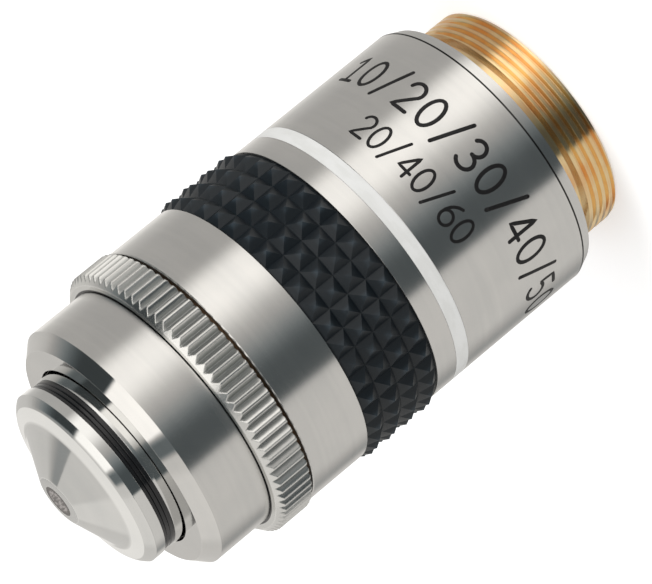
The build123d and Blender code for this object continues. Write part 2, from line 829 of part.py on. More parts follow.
# Nose cap: a spigot in the tube, a rim, a shallow band and the cone around the front lens
front_lens_r = front_lens_d / 2
with BuildPart() as nose_cap:
    cap_hole_r = front_lens_r + press_gap
    cap_band_r = nose_r - cap_round_depth
    cone_foot = (cap_band_r - cap_band_width, cone_rear_z)
    cone_edge = (cone_tip_d / 2, tip_z)
    with BuildSketch(Plane.XZ) as cap_section:
        with BuildLine():
            rim_round = RadiusArc(
                (nose_r, cap_round_rear_z), (cap_band_r, cap_round_front_z), -cap_round_radius
            )
            Polyline(
                rim_round @ 1,
                cone_foot,
                cone_edge,
                (cap_hole_r, tip_z),
                (cap_hole_r, tip_z - front_lens_seat),
                (spigot_bore_r - cap_seat_width, cap_seat_z),
                (spigot_bore_r, cap_seat_z),
                (spigot_bore_r, spigot_rear_z),
                (spigot_r, spigot_rear_z),
                (spigot_r, cap_shoulder_z),
                (nose_r, cap_shoulder_z),
                rim_round @ 0,
            )
        make_face()
        for corner, corner_round in ((cone_foot, cone_foot_round), (cone_edge, tip_round)):
            fillet(cap_section.vertices().sort_by_distance((*corner, 0))[0], corner_round)
    revolve(axis=Axis.Z)
nose_cap.part.label = "nose_cap"
export_step(nose_cap.part, "parts/nose_cap.step")

# Front lens: a hemisphere with its flat face out, flush with the tip
with BuildPart() as front_lens:
    front_lens_dome_z = tip_z - front_lens_rim
    with BuildSketch(Plane.XZ):
        with BuildLine():
            dome = TangentArc(
                (0, front_lens_dome_z - front_lens_r),
                (front_lens_r, front_lens_dome_z),
                tangent=(1, 0),
            )
            Polyline(dome @ 1, (front_lens_r, tip_z), (0, tip_z), dome @ 0)
        make_face()
    revolve(axis=Axis.Z)
front_lens.part.label = "front_lens"
export_step(front_lens.part, "parts/front_lens.step")

# Black immersion code ring, in the groove between the tube and the nose cap
with BuildPart() as oil_ring:
    oil_ring_r = nose_r - oil_ring_inset
    with BuildSketch(Plane.XY.offset(tube_front_z)):
        Circle(oil_ring_r)
        Circle(spigot_r + press_gap, mode=Mode.SUBTRACT)
    extrude(amount=oil_ring_width)
    with BuildSketch(Plane.XZ):
        for line_z in (tube_front_z + oil_ring_width / 3, cap_shoulder_z - oil_ring_width / 3):
            with BuildLine():
                Polyline(
                    (oil_ring_r, line_z - oil_ring_line_width / 2),
                    (oil_ring_r - oil_ring_line_depth, line_z),
                    (oil_ring_r, line_z + oil_ring_line_width / 2),
                    close=True,
                )
            make_face()
    revolve(axis=Axis.Z, mode=Mode.SUBTRACT)
oil_ring.part.label = "oil_ring"
export_step(oil_ring.part, "parts/oil_ring.step")
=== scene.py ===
import json
import math

import bpy
from mathutils import Matrix, Vector


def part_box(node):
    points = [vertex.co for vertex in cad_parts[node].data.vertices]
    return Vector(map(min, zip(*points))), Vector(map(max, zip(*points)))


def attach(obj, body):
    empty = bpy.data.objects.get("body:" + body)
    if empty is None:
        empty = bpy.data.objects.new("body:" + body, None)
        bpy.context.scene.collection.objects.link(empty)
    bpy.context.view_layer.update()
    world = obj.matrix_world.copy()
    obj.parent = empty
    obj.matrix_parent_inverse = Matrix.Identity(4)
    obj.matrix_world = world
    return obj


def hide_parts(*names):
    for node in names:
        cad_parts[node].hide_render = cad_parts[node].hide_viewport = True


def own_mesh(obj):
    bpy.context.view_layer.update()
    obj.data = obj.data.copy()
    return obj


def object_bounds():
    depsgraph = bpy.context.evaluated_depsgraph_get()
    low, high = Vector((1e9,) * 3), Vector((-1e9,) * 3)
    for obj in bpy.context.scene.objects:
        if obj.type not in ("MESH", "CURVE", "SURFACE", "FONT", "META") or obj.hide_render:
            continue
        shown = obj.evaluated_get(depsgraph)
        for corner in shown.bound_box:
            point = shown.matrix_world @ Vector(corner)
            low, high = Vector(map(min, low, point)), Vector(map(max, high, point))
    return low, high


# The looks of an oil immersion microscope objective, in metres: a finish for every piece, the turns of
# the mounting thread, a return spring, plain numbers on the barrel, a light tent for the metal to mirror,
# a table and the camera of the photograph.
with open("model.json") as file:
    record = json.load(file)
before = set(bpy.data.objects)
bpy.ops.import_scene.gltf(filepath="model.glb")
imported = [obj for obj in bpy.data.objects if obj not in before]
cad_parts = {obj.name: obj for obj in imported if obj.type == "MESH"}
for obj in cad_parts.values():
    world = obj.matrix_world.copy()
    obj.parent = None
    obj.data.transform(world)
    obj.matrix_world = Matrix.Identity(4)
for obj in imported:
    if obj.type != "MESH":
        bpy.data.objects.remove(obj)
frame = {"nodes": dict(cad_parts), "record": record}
solid_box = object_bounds()

MM = 0.001

# The camera of the photograph, found by fitting a perspective to the edges of the objective. The width
# of the view and the focal length count its pixels, and the angles are in degrees.
VIEW_WIDTH = 652
FOCAL_LENGTH = 4539.3
SENSOR_WIDTH = 36.0
CAMERA_PLACE = Vector((-0.63, -333.84, 128.64)) * MM
CAMERA_FALL = 18.40
CAMERA_ROLL = 129.44
NEAREST_SEEN = 0.01
FARTHEST_SEEN = 10.0

# Mounting thread: 36 turns to the inch, with flanks at 55 degrees
THREAD_PITCH = 25.4 / 36 * MM
THREAD_DEPTH = 0.46 * THREAD_PITCH
THREAD_FLANK = math.radians(27.5)
THREAD_ROOT_FLAT = 0.12 * THREAD_PITCH
THREAD_CHAMFER = 0.30 * MM
CUTTER_OVERHANG = 0.02 * MM
RELIEF_LENGTH = 1.35 * MM
RELIEF_DEPTH = 0.51 * MM
RECESS_DEPTH = 0.40 * MM
SHANK_STEP = 0.45 * MM
MOUNT_WALL = 1.20 * MM
TURN_STEPS = 144
THREAD_SHARP_ANGLE = math.radians(20)

# Return spring
SPRING_WIRE = 0.90 * MM
SPRING_HALF_TURNS = 9
WIRE_SIDES = 16
COIL_STEPS = 32
SPRING_SHARP_ANGLE = math.radians(40)

# Details of the solids that a finish has to find, in millimetres. The fine line's width counts to the
# middles of its soft edges, and the grip's points are told by their distance from the axis.
FINE_LINE_PLACE = 1.03
FINE_LINE_WIDTH = 0.15
FINE_LINE_EDGE = 0.04
SLEEVE_BEVEL_LENGTH = 1.07
RING_BEVEL_LENGTH = 0.52
RING_BEVEL_DEPTH = 0.60
RING_FACE_BEGINS = 0.03
RING_FACE_FULL = 0.01
GROOVE_BEGINS = 0.04
GROOVE_FULL = 0.34
SEAM_EDGE = 11.34
SEAM_SOFTNESS = 0.06
GRIP_POINTS_BEGIN = 12.20
GRIP_POINTS_FULL = 12.52

# How far a turned edge and a knurl's crest are rounded in the normals, in millimetres
BROKEN_EDGE = 0.06
WORN_CREST = 0.16
BEVEL_SAMPLES = 6

# What single places of a finish look like. The lip is the metal round the front lens, made rougher, with
# its colour darkened as painted shade that dims the light it mirrors. Widths are in millimetres, and the
# edge of the front lens is in shares of its radius.
TIP_LIP = 0.85
LIP_SOFTNESS = 0.10
LIP_BLUR = 0.40
LIP_PAINTED_SHADE = (0.68, 0.68, 0.67)
POLISH_SOFTNESS = 0.05
POLISHED_SHARE = 0.30
# Painted shade: the colour of the fine line in the barrel's shoulder, darkened as the shade in its groove
FINE_LINE_PAINTED_SHADE = (0.120, 0.118, 0.113)
# Painted shade: the dark seam where the control ring's bore meets the sleeve
SEAM_PAINTED_SHADE = 0.020
LENS_EDGE_BEGINS = 0.70
LENS_EDGE_FULL = 0.84

# Engraved numbers on the barrel. A row stands with its tops towards the thread. Its pitch counts
# heights of a numeral, and its middle is an angle in degrees from the photograph's side.
LARGE_ROW = {
    "text": "10/20/30/40/50",
    "height": 3.10 * MM,
    "stroke": 0.34 * MM,
    "pitch": 0.74,
    "top": 3.75 * MM,
    "middle": 5.0,
}
SMALL_ROW = {
    "text": "20/40/60",
    "height": 2.40 * MM,
    "stroke": 0.26 * MM,
    "pitch": 0.68,
    "top": 8.50 * MM,
    "middle": -9.0,
}
FILLING_RISE = 0.008 * MM
ARC_STEP = 15
LINE_STEP = 0.12
STROKE_ROUNDING = 3
BALL_SIDES = 12
BALL_RINGS = 8


def arc(x, y, half_width, half_height, start, end):
    """Points of a round stroke, from one angle to another in degrees."""
    steps = round(abs(end - start) / ARC_STEP)
    angles = [math.radians(start + (end - start) * step / steps) for step in range(steps + 1)]
    return [(x + half_width * math.cos(angle), y + half_height * math.sin(angle)) for angle in angles]


# Strokes of the engraver's numerals, in heights of a numeral from its lower left corner
NUMERALS = {
    "0": [arc(0.29, 0.50, 0.24, 0.45, 90, 450)],
    "1": [[(0.10, 0.76), (0.31, 0.95), (0.31, 0.05)], [(0.08, 0.05), (0.54, 0.05)]],
    "2": [arc(0.29, 0.70, 0.23, 0.25, 165, -30) + [(0.05, 0.05), (0.54, 0.05)]],
    "3": [arc(0.27, 0.73, 0.21, 0.22, 150, -90), arc(0.27, 0.28, 0.25, 0.23, 90, -150)],
    "4": [[(0.42, 0.05), (0.42, 0.95), (0.04, 0.29), (0.55, 0.29)]],
    "5": [[(0.50, 0.95), (0.13, 0.95), (0.09, 0.55)] + arc(0.27, 0.32, 0.25, 0.27, 120, -150)],
    "6": [arc(0.29, 0.31, 0.24, 0.26, 90, 450), arc(0.61, 0.31, 0.56, 0.64, 105, 180)],
    "/": [[(0.08, -0.06), (0.50, 1.06)]],
}


class Wire:
    """The output of a node. An expression with it adds Math nodes."""

    def __init__(self, graph, node, output):
        self.graph = graph
        self.node = node
        self.socket = node.outputs[output]

    def out(self, output):
        """Another output of the same node."""
        return Wire(self.graph, self.node, output)

    def __add__(self, other):
        return self.graph.maths("ADD", self, other)

    def __radd__(self, other):
        return self.graph.maths("ADD", other, self)

    def __sub__(self, other):
        return self.graph.maths("SUBTRACT", self, other)

    def __rsub__(self, other):
        return self.graph.maths("SUBTRACT", other, self)

    def __mul__(self, other):
        return self.graph.maths("MULTIPLY", self, other)

    def __rmul__(self, other):
        return self.graph.maths("MULTIPLY", other, self)

    def __pow__(self, other):
        return self.graph.maths("POWER", self, other)


class Graph:
    """A node tree that is filled from nothing."""

    def __init__(self, tree):
        self.tree = tree
        tree.nodes.clear()

    def node(self, kind, settings=None, inputs=None, output=0):
        """A new node: its settings first, then a value or a wire for each socket."""
        node = self.tree.nodes.new(kind)
        for name, value in (settings or {}).items():
            setattr(node, name, value)
        for socket, value in (inputs or {}).items():
            if isinstance(value, Wire):
                self.tree.links.new(value.socket, node.inputs[socket])
            else:
                node.inputs[socket].default_value = value
        return Wire(self, node, output) if node.outputs else node

    def range(self, value, start, end, low=0.0, high=1.0):
        """A value that runs smoothly from low to high while another runs from start to end."""
        return self.node(
            "ShaderNodeMapRange",
            {"interpolation_type": "SMOOTHSTEP"},
            {"Value": value, "From Min": start, "From Max": end, "To Min": low, "To Max": high},
        )

    def between(self, value, bounds, edges):
        """A mask that is 1 between two bounds. Each edge is centred on its bound and has its own width."""
        (low, high), (low_edge, high_edge) = bounds, edges
        begins = self.range(value, low - low_edge / 2, low + low_edge / 2)
        ends = self.range(value, high - high_edge / 2, high + high_edge / 2, 1.0, 0.0)
        return begins * ends

    def maths(self, operation, first, second=0.0):
        """A Math node, on wires and numbers."""
        return self.node("ShaderNodeMath", {"operation": operation}, {0: first, 1: second})

    def vector(self, operation, *inputs, output="Vector"):
        """A Vector Math node, on wires and triples of numbers."""
        return self.node("ShaderNodeVectorMath", {"operation": operation}, dict(enumerate(inputs)), output)

    def mix(self, factor, first, second, blend="MIX"):
        """A colour between two colours, or one blended over the other."""
        return self.node(
            "ShaderNodeMix",
            {"data_type": "RGBA", "blend_type": blend},
            {0: factor, 6: opaque(first), 7: opaque(second)},
            output=2,
        )


def opaque(colour):
    """A grey or a colour as a colour with its fourth value. A wire stays as it is."""
    if isinstance(colour, Wire):
        return colour
    if isinstance(colour, (int, float)):
        colour = (colour, colour, colour)
    return (*colour, 1.0)


class Finish(Graph):
    """A material in the making, with places on the piece in millimetres."""

    def __init__(self, name):
        self.material = bpy.data.materials.new(name)
        self.material.use_nodes = True
        super().__init__(self.material.node_tree)
        here = self.node("ShaderNodeTexCoord", output="Object")
        self.place = self.vector("MULTIPLY", here, (1 / MM, 1 / MM, 1 / MM))
        split = self.node("ShaderNodeSeparateXYZ", inputs={0: self.place})
        x, y, self.z = (split.out(axis) for axis in "XYZ")
        self.radius = (x * x + y * y) ** 0.5

    def noise(self, grains, detail=3.0, roughness=0.5):
        """Noise with its own number of grains in a millimetre along each axis, or along all three."""
        if isinstance(grains, float):
            grains = (grains, grains, grains)
        scaled = self.vector("MULTIPLY", self.place, grains)
        return self.node(
            "ShaderNodeTexNoise",
            inputs={"Vector": scaled, "Scale": 1.0, "Detail": detail, "Roughness": roughness},
        )

    def bump(self, height, depth, rounding=None):
        """A normal from a height that spans a depth, over rounded edges where a rounding is given."""
        inputs = {"Height": height, "Distance": depth * MM}
        if rounding:
            inputs["Normal"] = self.node(
                "ShaderNodeBevel", {"samples": BEVEL_SAMPLES}, {"Radius": rounding * MM}
            )
        return self.node("ShaderNodeBump", inputs=inputs)

    def end(self, **inputs):
        """Close the material with a Principled shader."""
        named = {name.replace("_", " "): value for name, value in inputs.items()}
        shader = self.node("ShaderNodeBsdfPrincipled", inputs=named)
        self.node("ShaderNodeOutputMaterial", inputs={"Surface": shader})
        return self.material


def turned_metal(
    name, bright, dull, rough, line_depth=0.0006, wave_depth=0.020, grain=0.0,
    polished_from=None, matt_and_shaded_within=None, painted_shade_line=None,
):
    """Metal with the fine lines of the lathe round the axis, and a faint film here and there."""
    finish = Finish(name)
    fine = finish.noise((0.10, 0.10, 14.0), detail=4.0, roughness=0.7)
    broad = finish.noise((0.05, 0.05, 1.6), detail=2.0)
    film = finish.noise(0.22)
    wave = finish.noise((0.18, 0.18, 0.12), detail=1.0)
    tone = finish.range(film * 0.6 + broad * 0.4, 0.35, 0.68)
    shade = finish.mix(tone, dull, bright)
    blur = rough + 0.05 * (fine - 0.5) + 0.04 * (film - 0.5)
    if polished_from:
        satin_until = polished_from - POLISH_SOFTNESS
        blur = blur * finish.range(finish.z, satin_until, polished_from, 1.0, POLISHED_SHARE)
    # Painted shade on the lip: its colour is darkened to dim the bright ring it mirrors, and it is made
    # rougher
    if matt_and_shaded_within:
        lip = finish.range(finish.radius, matt_and_shaded_within - LIP_SOFTNESS, matt_and_shaded_within, 1.0, 0.0)
        blur = blur + LIP_BLUR * lip
        shade = finish.mix(lip, shade, LIP_PAINTED_SHADE)
    # Painted shade: the fine line in the shoulder is darkened as if shade lay in its groove
    if painted_shade_line:
        line = finish.between(finish.z, painted_shade_line, (FINE_LINE_EDGE, FINE_LINE_EDGE))
        shade = finish.mix(line, shade, FINE_LINE_PAINTED_SHADE)
    return finish.end(
        Base_Color=shade,
        Metallic=1.0,
        Roughness=blur,
        Anisotropic=grain,
        Anisotropic_Rotation=0.25,
        Normal=finish.bump(fine * (line_depth / wave_depth) + wave, wave_depth, BROKEN_EDGE),
    )


def knurled_metal(name, ring):
    """Plated metal whose grooves are rougher than its crests, with painted shade in the grooves and in the
    seam at its bore.
    """
    finish = Finish(name)
    grain = finish.noise((6.0, 6.0, 2.0))
    top = ring.z / MM
    fall = finish.maths("MAXIMUM", finish.z - (top - RING_BEVEL_LENGTH), 0.0)
    under_crest = ring.x / MM - fall * (RING_BEVEL_DEPTH / RING_BEVEL_LENGTH) - finish.radius
    groove = finish.range(under_crest + 0.05 * (grain - 0.5), GROOVE_BEGINS, GROOVE_FULL)
    off_face = finish.range(finish.z, top - RING_FACE_BEGINS, top - RING_FACE_FULL, 1.0, 0.0)
    rough_shaded_groove = groove * off_face
    # Painted shade: a dark line on the front face at the bore, for the shaded gap to the sleeve
    seam = finish.range(finish.radius, SEAM_EDGE - SEAM_SOFTNESS, SEAM_EDGE, 1.0, 0.0)
    # Painted shade: the grooves are darker where shade falls in them
    plated_with_groove_shade = finish.mix(rough_shaded_groove, (0.81, 0.81, 0.79), (0.50, 0.51, 0.50))
    return finish.end(
        Base_Color=finish.mix(seam, plated_with_groove_shade, SEAM_PAINTED_SHADE),
        Metallic=1.0,
        Roughness=0.17 + 0.36 * rough_shaded_groove + 0.06 * (grain - 0.5),
        Normal=finish.bump(grain, 0.003, WORN_CREST),
    )


def bare_brass(name, bright, dull, rough):
    """Bare turned brass, a little browned where it was touched."""
    finish = Finish(name)
    lines = finish.noise((0.10, 0.10, 11.0), detail=4.0, roughness=0.7)
    stain = finish.noise((0.35, 0.35, 0.5), detail=4.0)
    tone = finish.range(stain * 0.7 + lines * 0.3, 0.34, 0.62)
    return finish.end(
        Base_Color=finish.mix(tone, dull, bright),
        Metallic=1.0,
        Roughness=rough + 0.08 * (stain - 0.5),
        Normal=finish.bump(lines, 0.0008, BROKEN_EDGE),
    )


def moulded_rubber(name):
    """Black rubber with a fine mould grain, greyer on its points."""
    finish = Finish(name)
    grain = finish.noise(16.0)
    patches = finish.noise(0.8, roughness=0.6)
    points = finish.range(finish.radius, GRIP_POINTS_BEGIN, GRIP_POINTS_FULL)
    # Lighter in patches towards the points
    lighter_patches = points * finish.range(patches, 0.35, 0.65, 0.2, 1.0)
    return finish.end(
        Base_Color=finish.mix(lighter_patches, (0.0060, 0.0105, 0.0145), (0.028, 0.042, 0.054)),
        Roughness=0.40 + 0.14 * (grain - 0.5) + 0.10 * (patches - 0.5),
        Specular_IOR_Level=0.42,
        Normal=finish.bump(grain, 0.008),
    )


def paint(name, colour, edge, rough, coat=0.0):
    """Paint that lies a little unevenly in its groove."""
    finish = Finish(name)
    level = finish.noise((0.5, 0.5, 1.5), detail=2.0)
    speck = finish.noise(9.0, detail=2.0)
    return finish.end(
        Base_Color=finish.mix(finish.range(level * 0.8 + speck * 0.2, 0.38, 0.60), edge, colour),
        Roughness=rough + 0.06 * (speck - 0.5),
        Coat_Weight=coat,
        Coat_Roughness=0.08,
        Normal=finish.bump(level * 0.7 + speck * 0.3, 0.004),
    )


def blackened_metal(name, colour, rough):
    """Blackened inner metal with the lines of the lathe."""
    finish = Finish(name)
    lines = finish.noise((0.3, 0.3, 9.0))
    lighter_patches = finish.noise(1.2)
    lighter = tuple(4 * part for part in colour)
    return finish.end(
        Base_Color=finish.mix(finish.range(lighter_patches, 0.52, 0.72), colour, lighter),
        Metallic=0.4,
        Roughness=rough + 0.12 * (lighter_patches - 0.5),
        Normal=finish.bump(lines, 0.002),
    )


def ground_steel(name, tone, rough):
    """Hard steel with a fine ground grain."""
    finish = Finish(name)
    grain = finish.noise(5.0, detail=4.0)
    return finish.end(
        Base_Color=finish.mix(grain, tuple(0.8 * part for part in tone), tone),
        Metallic=1.0,
        Roughness=rough + 0.10 * (grain - 0.5),
        Normal=finish.bump(grain, 0.0010),
    )


def inner_glass(name):
    """Clear optical glass with a faint coating."""
    finish = Finish(name)
    dust = finish.noise(3.0)
    return finish.end(
        Base_Color=finish.mix(dust, (0.90, 0.95, 0.94), (0.96, 0.98, 0.98)),
        Roughness=finish.range(dust, 0.6, 0.8, 0.02, 0.06),
        Transmission_Weight=1.0,
        IOR=1.52,
        Coat_Weight=0.2,
    )


def front_glass(name, rim):
    """The front lens: a dark edge, and a lighter middle with streaks."""
    finish = Finish(name)
    specks = finish.noise(5.0)
    streaks = finish.noise((3.4, 0.7, 1.0), roughness=0.65)
    uneven = finish.radius + 0.25 * (specks - 0.5)
    # Darker towards the edge, lighter in the middle with streaks
    edge = finish.range(uneven, LENS_EDGE_BEGINS * rim, LENS_EDGE_FULL * rim)
    streaked = finish.range(streaks * 0.8 + specks * 0.2, 0.44, 0.56)
    middle = finish.mix(streaked, (0.045, 0.034, 0.030), (0.30, 0.27, 0.255))
    return finish.end(
        Base_Color=finish.mix(edge, middle, (0.030, 0.021, 0.018)),
        Roughness=0.10 + 0.10 * (specks - 0.5),
        IOR=1.50,
    )


def number_paint(name):
    """The dark filling of the numbers."""
    finish = Finish(name)
    fill = finish.noise(7.0)
    return finish.end(
        Base_Color=finish.mix(fill, (0.004, 0.004, 0.005), (0.016, 0.015, 0.015)),
        Roughness=0.46 + 0.15 * (fill - 0.5),
        Specular_IOR_Level=0.30,
        Normal=finish.bump(fill, 0.003),
    )


def make_finishes():
    """One material for each material slot of the record."""
    lens_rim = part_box("front_lens")[1].x / MM
    bevel_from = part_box("front_sleeve")[1].z / MM - SLEEVE_BEVEL_LENGTH
    half_line = FINE_LINE_WIDTH / 2
    shoulder_line = (FINE_LINE_PLACE - half_line, FINE_LINE_PLACE + half_line)
    return {
        "barrel_chrome": turned_metal(
            "barrel_chrome_finish", (0.82, 0.81, 0.79), (0.76, 0.755, 0.74), 0.25,
            grain=0.8, polished_from=bevel_from, painted_shade_line=shoulder_line,
        ),
        "nose_chrome": turned_metal(
            "nose_chrome_finish", (0.84, 0.84, 0.825), (0.79, 0.795, 0.785), 0.075,
            line_depth=0.0002, wave_depth=0.006, matt_and_shaded_within=lens_rim + TIP_LIP,
        ),
        "ring_chrome": knurled_metal("ring_chrome_finish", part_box("control_ring")[1]),
        "thread_brass": bare_brass("thread_brass_finish", (1.00, 0.765, 0.43), (0.94, 0.57, 0.28), 0.13),
        # The washer's brass is darkened far below brass as painted shade of the gap it sits in
        "washer_brass": bare_brass("washer_shaded_brass_finish", (0.13, 0.085, 0.050), (0.07, 0.045, 0.03), 0.45),
        "grip_rubber": moulded_rubber("grip_rubber_finish"),
        "white_paint": paint("white_paint_finish", (0.80, 0.80, 0.78), (0.75, 0.75, 0.725), 0.36, coat=0.2),
        "black_paint": paint("black_paint_finish", (0.009, 0.010, 0.011), (0.014, 0.014, 0.015), 0.12),
        "black_anodised": blackened_metal("black_anodised_finish", (0.020, 0.020, 0.022), 0.50),
        "cell_brass": bare_brass("cell_brass_finish", (0.74, 0.56, 0.30), (0.60, 0.42, 0.20), 0.30),
        "spring_steel": ground_steel("spring_steel_finish", (0.46, 0.46, 0.47), 0.32),
        "pin_steel": ground_steel("pin_steel_finish", (0.60, 0.60, 0.60), 0.22),
        "iris_steel": ground_steel("iris_steel_finish", (0.09, 0.10, 0.13), 0.40),
        "lens_glass": inner_glass("lens_glass_finish"),
        "front_glass": front_glass("front_glass_finish", lens_rim),
    }


def finish_nodes(finishes):
    """Give every carried-over node the finish of its slot."""
    slots = {part["node"]: part["material_slot"] for part in frame["record"]["subparts"]}
    for name, node in frame["nodes"].items():
        for place in range(len(node.material_slots)):
            node.material_slots[place].material = finishes[slots[name]]


def dress(piece, finish):
    """Give a piece one finish."""
    piece.data.materials.clear()
    piece.data.materials.append(finish)


def select_only(piece=None):
    """Select one piece and nothing else, or nothing at all."""
    bpy.ops.object.select_all(action="DESELECT")
    if piece is not None:
        piece.select_set(True)
        bpy.context.view_layer.objects.active = piece


# Steps for edit_mesh: points at the same place become one, and faces look outwards
SAME_PLACE = 0.001 * MM
JOIN_POINTS = (bpy.ops.mesh.remove_doubles, {"threshold": SAME_PLACE})
FACE_OUTWARDS = (bpy.ops.mesh.normals_make_consistent, {"inside": False})


def edit_mesh(*steps):
    """Run operators in edit mode, each with its settings and on the whole mesh of the active piece."""
    bpy.ops.object.mode_set(mode="EDIT")
    for operator, settings in steps:
        bpy.ops.mesh.select_all(action="SELECT")
        operator(**settings)
    bpy.ops.object.mode_set(mode="OBJECT")


def draw_line(name, points):
    """A line through points: one vertex of a plane is kept and drawn out point by point."""
    select_only()
    bpy.ops.mesh.primitive_plane_add(size=MM, location=(0, 0, 0))
    piece = bpy.context.object
    piece.name = name
    bpy.ops.object.mode_set(mode="EDIT")
    bpy.ops.mesh.select_mode(type="VERT")
    bpy.ops.mesh.select_all(action="SELECT")
    bpy.ops.mesh.merge(type="CENTER")
    bpy.ops.transform.translate(value=points[0])
    for last, following in zip(points, points[1:]):
        step = [there - here for here, there in zip(last, following)]
        bpy.ops.mesh.extrude_region_move(TRANSFORM_OT_translate={"value": step})
    bpy.ops.object.mode_set(mode="OBJECT")
    return piece


def closed_outline(name, points):
    """A closed outline in the XZ plane."""
    piece = draw_line(name, [(x, 0, z) for x, z in points])
    edit_mesh((bpy.ops.mesh.edge_face_add, {}), (bpy.ops.mesh.delete, {"type": "ONLY_FACE"}))
    return piece


def turn_round(piece):
    """Spin an outline into a closed body of revolution round the optical axis."""
    select_only(piece)
    full_turn = {"steps": TURN_STEPS, "angle": 2 * math.pi, "center": (0, 0, 0), "axis": (0, 0, 1)}
    edit_mesh((bpy.ops.mesh.spin, full_turn), JOIN_POINTS, FACE_OUTWARDS)


def wind_up(piece, angle, rise, times, steps):
    """Wind an outline into a helix round the optical axis, an angle at a time, and close its two ends."""
    select_only(piece)
    screw = piece.modifiers.new("winding", "SCREW")
    screw.axis = "Z"
    screw.angle = angle
    screw.screw_offset = rise
    screw.iterations = times
    screw.steps = steps
    screw.render_steps = steps
    screw.use_merge_vertices = False
    bpy.ops.object.modifier_apply(modifier=screw.name)
    edit_mesh((bpy.ops.mesh.fill_holes, {"sides": 0}), FACE_OUTWARDS)


def turn_thread_blank(low, high):
    """The thread piece before its turns are cut: crest, relief groove, shank and bore."""
    crest = high.x
    relief = crest - RELIEF_DEPTH
    shank = relief - SHANK_STEP
    bore = shank - MOUNT_WALL
    piece = closed_outline(
        "mounting_thread_turns",
        [
            (bore, low.z),
            (crest - THREAD_CHAMFER, low.z),
            (crest, low.z + THREAD_CHAMFER),
            (crest, -RELIEF_LENGTH - RELIEF_DEPTH / 2),
            (relief, -RELIEF_LENGTH),
            (relief, RECESS_DEPTH),
            (shank, RECESS_DEPTH),
            (shank, high.z),
            (bore, high.z),
        ],
    )
    turn_round(piece)
    return piece


def wind_thread_cutter(low, high):
    """The groove between the turns as a body, wound from before the thread's end into its relief."""
    clear = high.x + CUTTER_OVERHANG
    root = high.x - THREAD_DEPTH
    half_root = THREAD_ROOT_FLAT / 2
    half_mouth = half_root + (clear - root) * math.tan(THREAD_FLANK)
    start = low.z - THREAD_PITCH
    cutter = closed_outline(
        "thread_cutter",
        [
            (root, start - half_root),
            (clear, start - half_mouth),
            (clear, start + half_mouth),
            (root, start + half_root),
        ],
    )
    turns = math.floor((-RELIEF_LENGTH - start) / THREAD_PITCH)
    wind_up(cutter, 2 * math.pi, THREAD_PITCH, turns, TURN_STEPS)
    return cutter


def make_thread(finish):
    """The brass thread piece with its turns, in place of the plain solid."""
    low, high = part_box("thread_mount")
    piece = turn_thread_blank(low, high)
    cutter = wind_thread_cutter(low, high)
    select_only(piece)
    cut = piece.modifiers.new("turns", "BOOLEAN")
    cut.operation = "DIFFERENCE"
    cut.solver = "EXACT"
    cut.object = cutter
    bpy.ops.object.modifier_apply(modifier=cut.name)
    bpy.data.objects.remove(cutter)
    edit_mesh(JOIN_POINTS)
    bpy.ops.object.shade_smooth_by_angle(angle=THREAD_SHARP_ANGLE)
    dress(piece, finish)
    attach(piece, "barrel")
    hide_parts("thread_mount")


def make_spring(finish):
    """The return spring with its ground ends."""
    low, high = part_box("return_spring")
    wire = SPRING_WIRE / 2
    coil = high.x - wire
    angles = [2 * math.pi * side / WIRE_SIDES for side in range(WIRE_SIDES)]
    points = [(coil + wire * math.cos(angle), low.z + wire * math.sin(angle)) for angle in angles]
    piece = closed_outline("return_spring_coils", points)
    length = high.z - low.z
    wind_up(piece, math.pi, length / SPRING_HALF_TURNS, SPRING_HALF_TURNS, COIL_STEPS)
    select_only(piece)
    grind = {"use_fill": True, "clear_inner": True, "threshold": SAME_PLACE}
    edit_mesh(
        (bpy.ops.mesh.bisect, {"plane_co": (0, 0, low.z), "plane_no": (0, 0, 1), **grind}),
        (bpy.ops.mesh.bisect, {"plane_co": (0, 0, high.z), "plane_no": (0, 0, -1), **grind}),
        FACE_OUTWARDS,
    )
    bpy.ops.object.shade_smooth_by_angle(angle=SPRING_SHARP_ANGLE)
    dress(piece, finish)
    joints = frame["record"]["behaviour"]["joints"]
    slide = next(joint for joint in joints if joint["name"] == "nose_slide")
    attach(piece, "barrel")
    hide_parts("return_spring")
    kept = 1 - slide["range_m"][1] / length
    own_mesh(piece)


def short_steps(points, longest):
    """The same stroke with its long straight stretches divided, so that it can be bent."""
    divided = [points[0]]
    for (last_x, last_y), (next_x, next_y) in zip(points, points[1:]):
        count = math.ceil(math.dist((last_x, last_y), (next_x, next_y)) / longest)
        for step in range(1, count + 1):
            share = step / count
            divided.append((last_x + (next_x - last_x) * share, last_y + (next_y - last_y) * share))
    return divided


def cut_stroke(points, width, ends):
    """A round cutter's groove along a line, filled: a tube, and balls at open ends that have none yet."""
    piece = draw_line("engraved_stroke", [(x, y, 0) for x, y in points])
    edit_mesh(JOIN_POINTS)
    bpy.ops.object.convert(target="CURVE")
    piece.data.bevel_depth = width / 2
    piece.data.bevel_resolution = STROKE_ROUNDING
    piece.data.use_fill_caps = True
    bpy.ops.object.convert(target="MESH")
    edit_mesh(JOIN_POINTS)
    made = [piece]
    if math.dist(points[0], points[-1]) < width / 2:
        return made
    for x, y in (points[0], points[-1]):
        place = (round(x / MM, 3), round(y / MM, 3))
        if place in ends:
            continue
        ends.add(place)
        select_only()
        bpy.ops.mesh.primitive_uv_sphere_add(
            segments=BALL_SIDES, ring_count=BALL_RINGS, radius=width / 2, location=(x, y, 0)
        )
        made.append(bpy.context.object)
    return made


